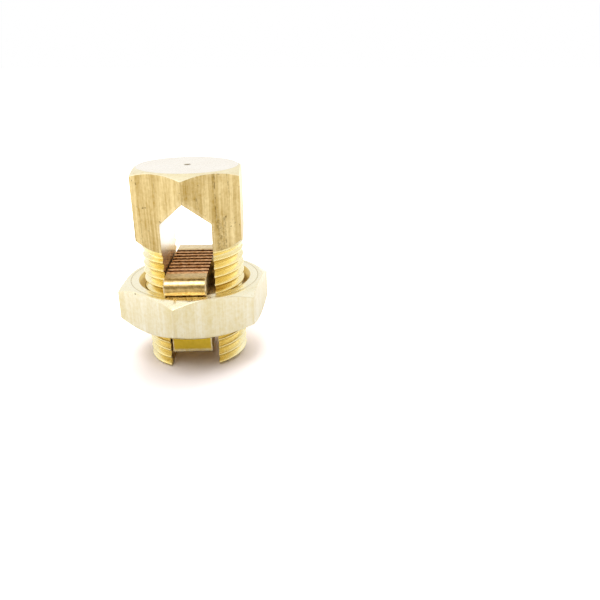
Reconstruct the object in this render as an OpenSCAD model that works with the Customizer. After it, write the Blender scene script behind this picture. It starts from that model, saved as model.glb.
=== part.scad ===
// Split bolt connector: a slotted hexagon-head bolt, its nut, and the serrated pressure bar that the
// nut drives along the slot. Wires lie in the slot and are squeezed between the bar and the roof.
// Millimetres. The bolt stands on its leg ends at z = 0, head up, with the slot running along Y.

/* [Thread] */
// Outer diameter of the bolt's thread
thread_d = 19.05; // [16:0.05:19.5]
// Distance from one thread crest to the next
thread_pitch = 1.5875; // [1.2:0.0125:2.5]
// Height of the thread, from root to crest
thread_depth = 0.95; // [0.3:0.05:1]
// Height above the leg ends of the crest that faces +X
thread_start = 0.99; // [0:0.01:1.5]
// Length over which the thread fades out below the head
thread_runout = 1.6; // [0.5:0.1:4]
// Flat facets in one turn of the thread
thread_facets = 36; // [24:2:48]

/* [Bolt] */
// Hexagon head, across flats
head_af = 19.2; // [19:0.1:26]
// Height of the head, from the start of its shoulder to its top
head_h = 14.15; // [12:0.05:20]
// Length of the two legs, up to the start of the shoulder
leg_h = 23; // [20:0.1:34]
// Diameter of the flat circle on top of the head
head_crown_d = 18.44; // [15:0.02:19]
// Slope of the shoulder under the head
shoulder_angle = 45; // [30:1:60]
// Step from the thread's crest out to the foot of the shoulder
shoulder_step = 0.1; // [0.05:0.01:0.3]
// Chamfer at the ends of the legs
leg_chamfer = 0.32; // [0.1:0.02:0.8]

/* [Slot] */
// Width of the slot between the legs
slot_w = 9.04; // [8.5:0.02:10]
// Solid metal between the peak of the slot and the top of the head
crown_h = 5; // [3:0.1:7]
// Height of the pitched roof of the slot
roof_h = 4.02; // [2:0.02:5]

/* [Nut] */
// Nut, across flats
nut_af = 25.85; // [24:0.05:32]
// Height of the nut
nut_h = 8; // [6:0.1:9]
// Height of the nut's lower face above the leg ends
nut_z = 7.63; // [7.2:0.01:8.2]
// Diameter where the upper chamfer of the nut begins
nut_top_d = 25.96; // [23:0.02:26]
// Diameter where the lower chamfer of the nut begins
nut_bottom_d = 24.3; // [23:0.02:26]
// Diameter of the countersinks at the two mouths of the nut
countersink_d = 21.48; // [20.4:0.02:22.5]
// Turn of the nut about the bolt, from corners in line with the slot
nut_turn = -9.5; // [-30:0.5:30]
// Slope of the chamfers on the head and on the nut
chamfer_angle = 30; // [15:1:40]

/* [Pressure bar] */
// Width of the bar
bar_w = 7.6; // [6.5:0.05:7.8]
// Length of the bar over its rounded ends
bar_l = 23.5; // [22:0.1:26]
// Height of the bar above the nut
bar_h = 3.15; // [2.6:0.05:4]
// Radius of the rounded ends
nose_r = 1.8; // [1.4:0.05:2.4]
// Sideways place of the bar in the slot
bar_shift = -0.5; // [-0.5:0.05:0.5]
// Length of the tail along the slot
tail_l = 14.6; // [10:0.1:14.8]
// Height of the tail below the bar
tail_h = 13; // [10:0.05:14]
// Number of grooves across the top of the bar
tooth_count = 8; // [4:1:8]
// Distance from one groove to the next
tooth_pitch = 1.75; // [1.4:0.05:1.9]
// Depth of a groove
tooth_depth = 0.8; // [0.3:0.05:1]

/* [Clearances] */
// Radial gap between the bolt's thread and the nut's bore
thread_gap = 0.06; // [0.02:0.01:0.1]
// Gap between the nut's upper face and the bar
seat_gap = 0.05; // [0.02:0.01:0.2]

/* [Hidden] */
$fn = 96;
// A cut runs this far past the face that it opens, and a joined piece this far into its neighbour
over = 1;
// Half angle of a thread flank and of a groove in the bar
flank_angle = 30;
// Slope of the countersinks in the nut
countersink_angle = 45;

thread_r = thread_d / 2;
head_corner_r = head_af / sqrt(3);
nut_corner_r = nut_af / sqrt(3);
bolt_h = leg_h + head_h;
slot_peak_z = bolt_h - crown_h;
slot_wall_z = slot_peak_z - roof_h;
bore_r = thread_r + thread_gap;
nut_top_z = nut_z + nut_h;
bar_z = nut_top_z + seat_gap;
bar_top_z = bar_z + bar_h;

// The thread's section over one pitch: crest, falling flank, root, rising flank
crest_w = thread_pitch / 8;
flank_w = thread_depth * tan(flank_angle);
section = [
    [0, 1],
    [crest_w, 1],
    [crest_w + flank_w, 0],
    [thread_pitch - flank_w, 0]
];
// Whole turns of thread from below the leg ends to inside the head, cut to length afterwards
turns_below = ceil((thread_start + crest_w) / thread_pitch) + 1;
turns = turns_below + ceil(leg_h / thread_pitch) + 1;
steps = turns * thread_facets;

// Share of the full thread depth at height z: 1 along the legs, fading to 0 at the shoulder
function fade(z) = max(0, min(1, (leg_h - z) / thread_runout));

// Point j of the thread's section after i facets of the helix
function helix_point(i, j) =
    let (
        z = thread_start - crest_w / 2 + (i / thread_facets - turns_below) * thread_pitch + section[j][0],
        r = thread_r - thread_depth * (1 - section[j][1]) * fade(z),
        a = 360 * i / thread_facets
    )
    [r * cos(a), r * sin(a), z];

// Index of point j of the section after i facets; point 4 is point 0 one turn further on
function helix_index(i, j) = j < 4 ? 4 * i + j : 4 * (i + thread_facets);

// A screw thread with a solid core, as one closed surface swept along the helix
module thread() {
    last = steps + thread_facets;
    rings = [for (i = [0:last], j = [0:3]) helix_point(i, j)];
    foot = len(rings);
    tip = foot + 1;
    centres = [
        [0, 0, helix_point(0, 0)[2] - over],
        [0, 0, helix_point(last, 0)[2] + over]
    ];
    flanks = [
        for (i = [0:steps - 1], j = [0:3])
            each [
                [helix_index(i, j), helix_index(i, j + 1), helix_index(i + 1, j + 1)],
                [helix_index(i, j), helix_index(i + 1, j + 1), helix_index(i + 1, j)]
            ]
    ];
    // The open edges at the two ends: one turn of the helix, and one section that closes it
    foot_edge = concat(
        [for (i = [0:thread_facets]) helix_index(i, 0)],
        [for (j = [3:-1:0]) helix_index(0, j)]
    );
    tip_edge = concat(
        [for (i = [0:thread_facets]) helix_index(steps + i, 0)],
        [for (j = [3:-1:0]) helix_index(steps, j)]
    );
    foot_cap = [for (k = [0:len(foot_edge) - 2]) [foot, foot_edge[k], foot_edge[k + 1]]];
    tip_cap = [for (k = [0:len(tip_edge) - 2]) [tip, tip_edge[k + 1], tip_edge[k]]];
    polyhedron(concat(rings, centres), concat(flanks, foot_cap, tip_cap));
}

// Upright hexagonal prism with its corners in line with the slot
module hex_prism(across_flats, height) {
    rotate([0, 0, 90])
        cylinder(d = across_flats * 2 / sqrt(3), h = height, $fn = 6);
}

// Outline of the slot, seen along it: two walls and a pitched roof
module slot_outline() {
    polygon([
        [-slot_w / 2, -over],
        [slot_w / 2, -over],
        [slot_w / 2, slot_wall_z],
        [0, slot_peak_z],
        [-slot_w / 2, slot_wall_z]
    ]);
}

// Turned outline of the head: sloping shoulder below, chamfer above
module head_turning() {
    foot_r = thread_r + shoulder_step;
    shoulder_rise = (head_corner_r + over - foot_r) * tan(shoulder_angle);
    chamfer_drop = (head_corner_r + over - head_crown_d / 2) * tan(chamfer_angle);
    rotate_extrude()
        polygon([
            [0, leg_h],
            [foot_r, leg_h],
            [head_corner_r + over, leg_h + shoulder_rise],
            [head_corner_r + over, bolt_h - chamfer_drop],
            [head_crown_d / 2, bolt_h],
            [0, bolt_h]
        ]);
}

// Envelope of the threaded legs, chamfered at their ends and reaching into the head
module leg_turning() {
    rotate_extrude()
        polygon([
            [0, 0],
            [thread_r - leg_chamfer, 0],
            [thread_r + over, leg_chamfer + over],
            [thread_r + over, leg_h + over],
            [0, leg_h + over]
        ]);
}

// Bolt: hexagon head and two threaded legs, cut through by the slot
module split_bolt() {
    color("#d9b45c")
        difference() {
            union() {
                intersection() {
                    translate([0, 0, leg_h])
                        hex_prism(head_af, head_h);
                    head_turning();
                }
                intersection() {
                    thread();
                    leg_turning();
                }
            }
            rotate([90, 0, 0])
                linear_extrude(height = 2 * (head_corner_r + over), center = true)
                    slot_outline();
        }
}

// Turned outline of the nut: both chamfers, the bore and its two countersinks
module nut_turning() {
    top_drop = (nut_corner_r + over - nut_top_d / 2) * tan(chamfer_angle);
    bottom_rise = (nut_corner_r + over - nut_bottom_d / 2) * tan(chamfer_angle);
    sink_depth = (countersink_d / 2 - bore_r) * tan(countersink_angle);
    rotate_extrude()
        polygon([
            [bore_r, nut_z + sink_depth],
            [countersink_d / 2, nut_z],
            [nut_bottom_d / 2, nut_z],
            [nut_corner_r + over, nut_z + bottom_rise],
            [nut_corner_r + over, nut_top_z - top_drop],
            [nut_top_d / 2, nut_top_z],
            [countersink_d / 2, nut_top_z],
            [bore_r, nut_top_z - sink_depth]
        ]);
}

// Hexagon nut
module clamp_nut() {
    color("#e8d3a0")
        intersection() {
            rotate([0, 0, nut_turn])
                translate([0, 0, nut_z])
                    hex_prism(nut_af, nut_h);
            nut_turning();
        }
}

// Side outline of the bar: flat seat, round ends, flat top
module bar_outline() {
    intersection() {
        union() {
            for (side = [-1, 1])
                translate([side * (bar_l / 2 - nose_r), bar_top_z - nose_r])
                    circle(r = nose_r);
            translate([-bar_l / 2 + nose_r, bar_z])
                square([bar_l - 2 * nose_r, bar_h]);
        }
        translate([-bar_l / 2, bar_z])
            square([bar_l, bar_h]);
    }
}

// One V groove across the top of the bar
module groove_outline() {
    half_w = (tooth_depth + over) * tan(flank_angle);
    polygon([[-half_w, over], [0, -tooth_depth], [half_w, over]]);
}

// Pressure bar: a serrated cross bar, and the tail that keeps it square to the slot
module pressure_bar() {
    first_groove = -(tooth_count - 1) / 2 * tooth_pitch;
    color("#b5793f")
        translate([bar_shift, 0, 0])
            rotate([90, 0, 90])
                linear_extrude(height = bar_w, center = true)
                    difference() {
                        union() {
                            bar_outline();
                            translate([-tail_l / 2, bar_z - tail_h])
                                square([tail_l, tail_h + bar_h / 2]);
                        }
                        for (k = [0:tooth_count - 1])
                            translate([first_groove + k * tooth_pitch, bar_top_z])
                                groove_outline();
                    }
}

split_bolt();
clamp_nut();
pressure_bar();
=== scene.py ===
"""Looks of a split bolt connector: a slotted brass bolt, its nut and a serrated bronze pressure bar.

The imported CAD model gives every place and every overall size. The three pieces are modelled again here
with rounded edges and full threads, each in the space of the CAD node that it stands for. Lengths are
in millimetres up to the moment a mesh is made, which is in metres.
"""

import logging
import math
from dataclasses import dataclass, field
from enum import Enum
from typing import Callable, Optional, Sequence

import bmesh
import bpy
import numpy as np
from mathutils import Euler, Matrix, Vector


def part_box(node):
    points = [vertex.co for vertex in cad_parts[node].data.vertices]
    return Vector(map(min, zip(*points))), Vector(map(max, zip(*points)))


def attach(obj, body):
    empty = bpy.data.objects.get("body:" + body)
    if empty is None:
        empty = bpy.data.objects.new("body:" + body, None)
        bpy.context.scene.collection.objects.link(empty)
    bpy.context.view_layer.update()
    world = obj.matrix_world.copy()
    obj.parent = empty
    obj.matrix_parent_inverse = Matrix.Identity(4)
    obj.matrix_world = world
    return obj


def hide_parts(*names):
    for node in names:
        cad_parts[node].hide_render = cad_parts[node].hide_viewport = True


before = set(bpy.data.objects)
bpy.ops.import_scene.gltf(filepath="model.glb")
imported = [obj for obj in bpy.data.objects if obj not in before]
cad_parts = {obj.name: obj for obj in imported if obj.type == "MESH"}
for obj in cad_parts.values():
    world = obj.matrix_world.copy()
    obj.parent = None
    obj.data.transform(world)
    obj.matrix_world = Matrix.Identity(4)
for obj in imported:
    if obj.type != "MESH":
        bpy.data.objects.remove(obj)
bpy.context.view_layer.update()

MM = 0.001
QUARTER = math.pi / 2
TURN = 2 * math.pi
# Angles from one corner of a hexagon to the next, and from a corner to the middle of a flat
SECTOR = math.pi / 3
HALF_SECTOR = math.pi / 6
# Slopes of the flanks of threads and grooves, and of the chamfers
FLANK_ANGLE = math.pi / 6
CHAMFER_ANGLE = math.radians(30)
# Stations along a rounded edge or a cone
EVEN_SHARES = np.linspace(0, 1, 5)
# Columns about a hexagon's corner, as shares of half the angle of its arc
CORNER_STEPS = np.array([-4, -1, -0.5, 0, 0.5, 1, 4])
# Points closer than this become one
WELD_MM = 0.0004
LOG = logging.getLogger("split_bolt_connector")

Colour = tuple[float, float, float]
Surface = tuple[np.ndarray, np.ndarray]


class Zone(Enum):
    """The differently worked surfaces, each of which gets a material of its own."""

    DRAWN = "drawn"
    CROWN = "crown"
    TURNED = "turned"
    THREAD = "thread"
    BORE = "bore"
    MILLED = "milled"
    NUT_SIDE = "nut_side"
    NUT_FACE = "nut_face"
    BAR_NOSE = "bar_nose"
    BAR_TEETH = "bar_teeth"
    BAR_TAIL = "bar_tail"


# ---------------------------------------------------------------------------------------------------
# Mesh building
# ---------------------------------------------------------------------------------------------------


@dataclass
class Shell:
    """Collects grids and flat caps, and welds them into one closed mesh.

    Attributes:
        zones: the surface kinds that the shell uses, in the order of its material slots.
    """

    zones: Sequence[Zone]
    points: list[np.ndarray] = field(default_factory=list)
    quads: list[np.ndarray] = field(default_factory=list)
    quad_zones: list[np.ndarray] = field(default_factory=list)
    # tone holds painted light and shade, depth leads to painted shade in grooves, and edge also holds the
    # bar's painted highlights
    marks: dict[str, list[np.ndarray]] = field(default_factory=lambda: {"edge": [], "depth": [], "tone": []})
    caps: list[tuple[list[int], int]] = field(default_factory=list)
    count: int = 0

    def add_grid(self, grid: np.ndarray, zone_rows: Sequence[Zone], **marks: np.ndarray) -> np.ndarray:
        """Adds a grid of points and the quads between them.

        Args:
            grid: points, shaped (rows, columns, 3).
            zone_rows: the zone of each strip between two rows.
            marks: for each point, 0 to 1, how near it is to a worked edge or a painted highlight, how deep it
            lies in a groove, which takes painted shade, and how much painted light or shade its metal takes.
            Each fits the shape (rows, columns).

        Returns:
            The vertex numbers, shaped (rows, columns).
        """
        rows, columns = grid.shape[:2]
        numbers = self.count + np.arange(rows * columns).reshape(rows, columns)
        corners = (numbers[:-1, :-1], numbers[:-1, 1:], numbers[1:, 1:], numbers[1:, :-1])
        self.points.append(grid.reshape(-1, 3))
        for name, kept in self.marks.items():
            kept.append(np.broadcast_to(marks.get(name, np.zeros(1)), (rows, columns)).reshape(-1))
        self.quads.append(np.stack(corners, axis=-1).reshape(-1, 4))
        slots = np.array([self.zones.index(zone) for zone in zone_rows])
        self.quad_zones.append(np.repeat(slots, columns - 1))
        self.count += rows * columns
        return numbers

    def add_cap(self, numbers: np.ndarray, zone: Zone) -> None:
        """Closes a flat loop of vertices with one face."""
        self.caps.append((numbers.tolist(), self.zones.index(zone)))

    def weld(self, name: str) -> bpy.types.Object:
        """Makes the mesh object: merges what coincides, closes it and points its faces outwards.

        Args:
            name: the name of the new piece.

        Returns:
            The object, linked to the scene, at the origin, in metres.
        """
        quads = np.concatenate(self.quads)
        slots = np.concatenate([*self.quad_zones, np.array([slot for _, slot in self.caps], int)])
        faces = quads.tolist() + [loop for loop, _ in self.caps]
        mesh = bpy.data.meshes.new(name)
        mesh.from_pydata((np.concatenate(self.points) * MM).tolist(), [], faces)
        mesh.polygons.foreach_set("material_index", slots.astype(np.int32))
        for label, kept in self.marks.items():
            attribute = mesh.attributes.new(label, "FLOAT", "POINT")
            attribute.data.foreach_set("value", np.concatenate(kept).astype(np.float32))
        work = bmesh.new()
        work.from_mesh(mesh)
        bmesh.ops.remove_doubles(work, verts=work.verts, dist=WELD_MM * MM)
        bmesh.ops.dissolve_degenerate(work, edges=work.edges, dist=WELD_MM * MM)
        bmesh.ops.recalc_face_normals(work, faces=work.faces)
        open_edges = sum(1 for edge in work.edges if len(edge.link_faces) != 2)
        work.to_mesh(mesh)
        work.free()
        mesh.polygons.foreach_set("use_smooth", np.ones(len(mesh.polygons), bool))
        piece = bpy.data.objects.new(name, mesh)
        bpy.context.scene.collection.objects.link(piece)
        triangles = sum(len(polygon.vertices) - 2 for polygon in mesh.polygons)
        LOG.info("%s: %d triangles, %d open edges", name, triangles, open_edges)
        return piece


def keep_flats_flat(piece: bpy.types.Object) -> None:
    """Weights the normals by face area, so that a flat stays flat beside its rounded edge."""
    modifier = piece.modifiers.new("flats", "WEIGHTED_NORMAL")
    modifier.mode = "FACE_AREA_WITH_ANGLE"
    modifier.weight = 60


def spread(start: np.ndarray, end: np.ndarray, shares: np.ndarray) -> np.ndarray:
    """Points between start and end: start + share * (end - start), one column for each share."""
    return start[:, None] + (end - start)[:, None] * shares[None, :]


def about_axis(radius: np.ndarray, angle: np.ndarray, height: np.ndarray) -> np.ndarray:
    """Points about the Z axis: (radius * cos(angle), radius * sin(angle), height)."""
    return np.stack([radius * np.cos(angle), radius * np.sin(angle), height], axis=-1)


def bend(first: np.ndarray, corner: np.ndarray, last: np.ndarray, share: np.ndarray) -> np.ndarray:
    """A rounded corner: the quadratic Bezier curve (1-s)^2 first + 2s(1-s) corner + s^2 last."""
    return (1 - share) ** 2 * first + 2 * share * (1 - share) * corner + share**2 * last


def soft_clip(value: np.ndarray, ease: float) -> np.ndarray:
    """Limits value to 0..1, with a parabola of half-width ease in place of each of the two corners."""
    low = np.where(value < ease, (value + ease) ** 2 / (4 * ease), value)
    low = np.where(value < -ease, 0.0, low)
    high = np.where(value > 1 - ease, 1 - (1 + ease - value) ** 2 / (4 * ease), low)
    return np.where(value > 1 + ease, 1.0, high)


def ripple(x: np.ndarray, y: np.ndarray, wavelength: float, seed: int) -> np.ndarray:
    """Smooth random waves, about -1..1: twice the mean of eight sines of fixed random direction."""
    chance = np.random.default_rng(seed)
    total = np.zeros(np.broadcast(x, y).shape)
    for _ in range(8):
        heading, phase, stretch = chance.uniform(0, TURN), chance.uniform(0, TURN), chance.uniform(0.6, 1.7)
        along = x * math.cos(heading) + y * math.sin(heading)
        total += np.sin(along * TURN / (wavelength * stretch) + phase)
    return total / 4


@dataclass(frozen=True)
class Hexagon:
    """Cross-section of a hexagonal bar with slightly rounded corners.

    Attributes:
        across_flats: distance between opposite flats.
        corner_round: radius of the arc at each corner.
        turn: angle of one corner, in radians.
        painted_tones: painted reflection and shade of each flat, as how bright its metal is drawn at its
        first and at its last corner, counted from that corner on.
    """

    across_flats: float
    corner_round: float
    turn: float
    painted_tones: tuple[tuple[float, float], ...]

    @property
    def corner_centre(self) -> float:
        """Distance from the axis to the centre of a corner's arc."""
        return (self.across_flats / 2 - self.corner_round) / math.cos(HALF_SECTOR)

    @property
    def corner_half_angle(self) -> float:
        """Half the angle, seen from the axis, that the arc of a corner takes up."""
        reach = self.corner_centre + self.corner_round * math.cos(HALF_SECTOR)
        return math.atan2(self.corner_round / 2, reach)

    def from_corner(self, angle: np.ndarray) -> np.ndarray:
        """Angle from the nearest corner, below 0 on one side of it and above 0 on the other."""
        return (angle - self.turn + HALF_SECTOR) % SECTOR - HALF_SECTOR

    def radius(self, angle: np.ndarray) -> np.ndarray:
        """Distance from the axis to the surface.

        On a flat it is (across flats / 2) / cos(angle from the middle of the flat). On a corner it is
        c cos(a) + sqrt(r^2 - c^2 sin(a)^2), for an arc of radius r centred c from the axis.
        """
        from_corner, centre = self.from_corner(angle), self.corner_centre
        flat = self.across_flats / 2 / np.cos(HALF_SECTOR - np.abs(from_corner))
        inside = np.maximum(self.corner_round**2 - (centre * np.sin(from_corner)) ** 2, 0)
        arc = centre * np.cos(from_corner) + np.sqrt(inside)
        return np.where(np.abs(from_corner) < self.corner_half_angle, arc, flat)

    def tone(self, angle: np.ndarray) -> np.ndarray:
        """Painted reflection and shade: on each flat it runs in a straight line from corner to corner."""
        sixths = ((angle - self.turn) % TURN) / SECTOR
        flat = np.minimum(sixths.astype(int), 5)
        pairs = np.array(self.painted_tones)[flat]
        return pairs[..., 0] + (pairs[..., 1] - pairs[..., 0]) * (sixths - flat)


@dataclass(frozen=True)
class Helix:
    """A right-hand screw thread with 60 degree flanks.

    Attributes:
        pitch: distance from one crest to the next.
        start: height of the crest that faces +X.
        depth: height of the thread.
        crest_w: width of its flat crest.
        ease: how much the corners of the section are eased, as a share of a flank.
    """

    pitch: float = 1.5875
    start: float = 0.99
    depth: float = 0.95
    crest_w: float = pitch / 8
    ease: float = 0.08

    @property
    def flank_w(self) -> float:
        """Width of a flank along the axis."""
        return self.depth * math.tan(FLANK_ANGLE)

    def climb(self, angle: np.ndarray) -> np.ndarray:
        """Height that the thread gains over an angle: pitch * angle / one turn."""
        return self.pitch * angle / TURN

    def sink(self, angle: np.ndarray, height: np.ndarray) -> np.ndarray:
        """Depth below the crest, from the distance along the axis to the nearest crest."""
        offset = height - self.start - self.climb(angle)
        away = np.abs(offset - self.pitch * np.round(offset / self.pitch))
        return self.depth * soft_clip((away - self.crest_w / 2) / self.flank_w, self.ease)

    def levels(self, low: float, high: float) -> np.ndarray:
        """Heights, on the side that faces +X, of the lines that carry the thread's section.

        Args:
            low: no level lies far below this height.
            high: no level lies far above it.

        Returns:
            Heights from high to low: per half pitch the crest, its corner, the flank and the root.
        """
        crest, root = self.crest_w / 2, self.crest_w / 2 + self.flank_w
        soft = self.ease * self.flank_w
        middle = (crest + root) / 2
        half = np.array([0, crest - soft, crest, crest + soft, middle, root - soft, root, root + soft])
        one = np.concatenate([half, [self.pitch / 2], self.pitch - half[:0:-1]])
        first = math.floor((low - self.start) / self.pitch) - 1
        last = math.ceil((high - self.start) / self.pitch) + 1
        turns = self.start + self.pitch * np.arange(first, last)
        return np.sort((turns[:, None] + one[None, :]).reshape(-1))[::-1]


@dataclass
class Band:
    """A run of stations along the outline of a turned or hexagonal piece.

    Attributes:
        shares: one number for each station, which shape turns into radius and height.
        shape: gives (radius, height) for angles (stations, columns) and shares (stations, 1).
        zone: the surface kind of the strips that end in these stations.
        edge: how near the stations are to a worked edge.
    """

    shares: np.ndarray
    shape: Callable[[np.ndarray, np.ndarray], Surface]
    zone: Zone
    edge: float = 0.0


# ---------------------------------------------------------------------------------------------------
# The three pieces
# ---------------------------------------------------------------------------------------------------


@dataclass
class SplitBolt:
    """The bolt: a hexagon head on two threaded legs, with the conductor slot between them.

    Both halves come from the same outline, carried round the axis from one side of the slot to the
    other. The second half is the first turned by half a turn, with the thread half a pitch on.
    """

    height: float
    head_af: float
    head_h: float = 14.15
    crown_r: float = 9.22
    thread_r: float = 9.525
    shoulder_step: float = 0.1
    leg_chamfer: float = 0.32
    runout: float = 1.6
    slot_w: float = 9.04
    crown_h: float = 5.0
    roof_h: float = 4.02
    pip_depth: float = 0.22
    pip_r: float = 0.55
    edge_round: float = 0.07
    slot_round: float = 0.07
    corner_round: float = 0.16
    # Height over which the slot's walls are painted from shade up to sheen.
    painted_sheen_h: float = 4.0
    chamfer_slope: float = math.tan(CHAMFER_ANGLE)
    thread: Helix = Helix()

    @property
    def zones(self) -> list[Zone]:
        """The surface kinds, in the order of the material slots."""
        return [Zone.DRAWN, Zone.CROWN, Zone.TURNED, Zone.THREAD, Zone.MILLED]

    @property
    def leg_h(self) -> float:
        """Height at which the head's shoulder begins."""
        return self.height - self.head_h

    @property
    def peak_z(self) -> float:
        """Height of the peak of the slot's roof."""
        return self.height - self.crown_h

    @property
    def hexagon(self) -> Hexagon:
        """Cross-section of the head, with two of its corners in line with the slot."""
        # Painted reflection and shade: each flat lighter or darker for how it faces the light.
        painted_tones = ((0.5, 0.6), (0.45, 0.7), (0.55, 0.5), (0.3, 0.65), (0.9, 0.8), (0.4, 0.6))
        return Hexagon(self.head_af, self.corner_round, QUARTER, painted_tones)

    def slot_half(self, height: np.ndarray) -> np.ndarray:
        """Half the slot's width: full up to the roof, then falling in a straight line to 0 at its peak."""
        share = np.clip((self.peak_z - height) / self.roof_h, 0, 1)
        return self.slot_w / 2 * share

    def leg_radius(self, angle: np.ndarray, height: np.ndarray) -> np.ndarray:
        """Radius of the thread: crest - sink * fade, and no more than the chamfer at the leg's end."""
        fade = np.clip((self.leg_h - height) / self.runout, 0, 1)
        threaded = self.thread_r - self.thread.sink(angle, height) * fade
        return np.minimum(threaded, self.thread_r - self.leg_chamfer + height)

    def chamfer_z(self, radius: np.ndarray) -> np.ndarray:
        """Height of the chamfer on the head at a radius."""
        return self.height - (radius - self.crown_r) * self.chamfer_slope

    def head_bands(self, turn: float) -> list[Band]:
        """The outline of the head, from the middle of its crown down to its foot on the legs."""
        hexagon, d = self.hexagon, self.edge_round
        foot_r = self.thread_r + self.shoulder_step
        slope = math.cos(CHAMFER_ANGLE)

        def crown(angle: np.ndarray, share: np.ndarray) -> Surface:
            """Flat disc with a ragged dimple at its middle: depth e^-(radius / width)^2, with waves."""
            radius = share * (self.crown_r - d) + 0 * angle
            across, along = radius * np.cos(angle + turn), radius * np.sin(angle + turn)
            waves = 1 + 0.7 * ripple(across * 0.7, along * 1.4, 0.9, 3)
            dimple = np.exp(-((radius / self.pip_r) ** 2)) * waves
            return radius, self.height - self.pip_depth * np.clip(dimple, 0, 1)

        def crown_edge(angle: np.ndarray, share: np.ndarray) -> Surface:
            """Rounded edge between crown and chamfer."""
            radius = bend(self.crown_r - d, self.crown_r, self.crown_r + d * slope, share)
            drop = bend(0, 0, d * slope * self.chamfer_slope, share)
            return radius + 0 * angle, self.height - drop + 0 * angle

        def chamfer(angle: np.ndarray, share: np.ndarray) -> Surface:
            """Cone from the crown to just short of the flats."""
            inner, outer = self.crown_r + d * slope, hexagon.radius(angle) - d * slope
            radius = inner + share * (outer - inner)
            return radius, self.chamfer_z(radius)

        def top_edge(angle: np.ndarray, share: np.ndarray) -> Surface:
            """Rounded edge between chamfer and flat."""
            radius = hexagon.radius(angle)
            inner = radius - d * slope
            level = self.chamfer_z(radius)
            return bend(inner, radius, radius, share), bend(self.chamfer_z(inner), level, level - d, share)

        def foot_z(angle: np.ndarray) -> np.ndarray:
            """Height where a flat meets the 45 degree shoulder."""
            return self.leg_h + np.maximum(hexagon.radius(angle) - foot_r, 0)

        def flats(angle: np.ndarray, share: np.ndarray) -> Surface:
            """Flats; share is a height between the two curved edges, which bound it."""
            radius = hexagon.radius(angle)
            high = self.chamfer_z(radius) - d
            return radius, np.clip(share + 0 * angle, foot_z(angle) + round_by(angle), high)

        def round_by(angle: np.ndarray) -> np.ndarray:
            """Size of the rounding at the foot of a flat, which shrinks where the shoulder runs out."""
            return np.minimum(d, 0.4 * (foot_z(angle) - self.leg_h))

        def foot_edge(angle: np.ndarray, share: np.ndarray) -> Surface:
            """Rounded edge between flat and shoulder."""
            radius, level, size = hexagon.radius(angle), foot_z(angle), round_by(angle)
            inner = radius - size
            return bend(radius, radius, inner, share), bend(level + size, level, level - size, share)

        def shoulder(angle: np.ndarray, share: np.ndarray) -> Surface:
            """Cone from the flats in to its foot on the thread."""
            radius, size = hexagon.radius(angle), round_by(angle)
            outer, inner = radius - size, np.minimum(foot_r, radius)
            level = foot_z(angle) - size
            return outer + share * (inner - outer), level + share * (self.leg_h - level)

        top = float(self.chamfer_z(hexagon.radius(np.array([QUARTER])))[0]) - d
        slot_levels = np.linspace(self.peak_z, self.peak_z - self.roof_h, 9)
        above_slot, beside_slot = [self.height, top - 0.5, 34], [27, 26, 25.2, self.leg_h - 1]
        levels = np.concatenate([above_slot, slot_levels, beside_slot])
        crown_shares = np.concatenate([np.linspace(0, 0.18, 13), [0.25, 0.4, 0.6, 0.8, 0.92, 1]])
        return [
            Band(crown_shares, crown, Zone.CROWN),
            Band(EVEN_SHARES[1:], crown_edge, Zone.CROWN, 0.6),
            Band(EVEN_SHARES[1:], chamfer, Zone.TURNED),
            Band(EVEN_SHARES[1:], top_edge, Zone.TURNED, 1.0),
            Band(levels, flats, Zone.DRAWN),
            Band(EVEN_SHARES[1:], foot_edge, Zone.DRAWN, 1.0),
            Band(EVEN_SHARES[1:], shoulder, Zone.TURNED),
        ]

    def leg_bands(self, turn: float) -> list[Band]:
        """The thread, whose stations climb with it, from the shoulder down to the leg's end."""

        def thread(angle: np.ndarray, share: np.ndarray) -> Surface:
            """Thread; share is the station's height on the side that faces +X."""
            height = np.clip(share + self.thread.climb(angle + turn), 0, self.leg_h)
            return self.leg_radius(angle + turn, height), height

        levels = self.thread.levels(-2 * self.thread.pitch, self.leg_h + self.thread.pitch)
        fine = np.linspace(self.leg_chamfer + self.thread.pitch, -self.thread.pitch, 60)
        stations = np.concatenate([levels[levels > fine[0]], fine])
        return [Band(stations, thread, Zone.THREAD)]

    def columns(self, low: np.ndarray, high: np.ndarray) -> np.ndarray:
        """Angles of the columns between two edge angles, close together at the corners of the head."""
        dense = CORNER_STEPS * self.hexagon.corner_half_angle
        middle = np.linspace(-HALF_SECTOR, HALF_SECTOR, 24)[1:-1] * 0.9
        fixed = np.concatenate([dense - HALF_SECTOR, middle, dense + HALF_SECTOR])
        ones, steps = np.ones(len(low)), np.linspace(0, 1, 14)
        first = spread(low, ones * fixed[0], steps[:-1])
        last = spread(ones * fixed[-1], high, steps[1:])
        return np.concatenate([first, ones[:, None] * fixed[None, :], last], axis=1)

    def edge_angle(self, band: Band, side: int, above: np.ndarray) -> np.ndarray:
        """Angle at which each station meets the wall of the slot, or its middle plane above the slot.

        It solves radius * cos(angle) = half width of the slot by repeating
        angle = acos(half width / radius), which settles within a few rounds.
        """
        angle = np.full(len(band.shares), side * QUARTER)
        shares = band.shares[:, None]
        for _ in range(14):
            radius, height = band.shape(angle[:, None], shares)
            ratio = np.clip(self.slot_half(height[:, 0]) / np.maximum(radius[:, 0], 1e-6), 0, 1)
            angle = side * np.arccos(np.where(above, 0, ratio))
        return angle

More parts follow.
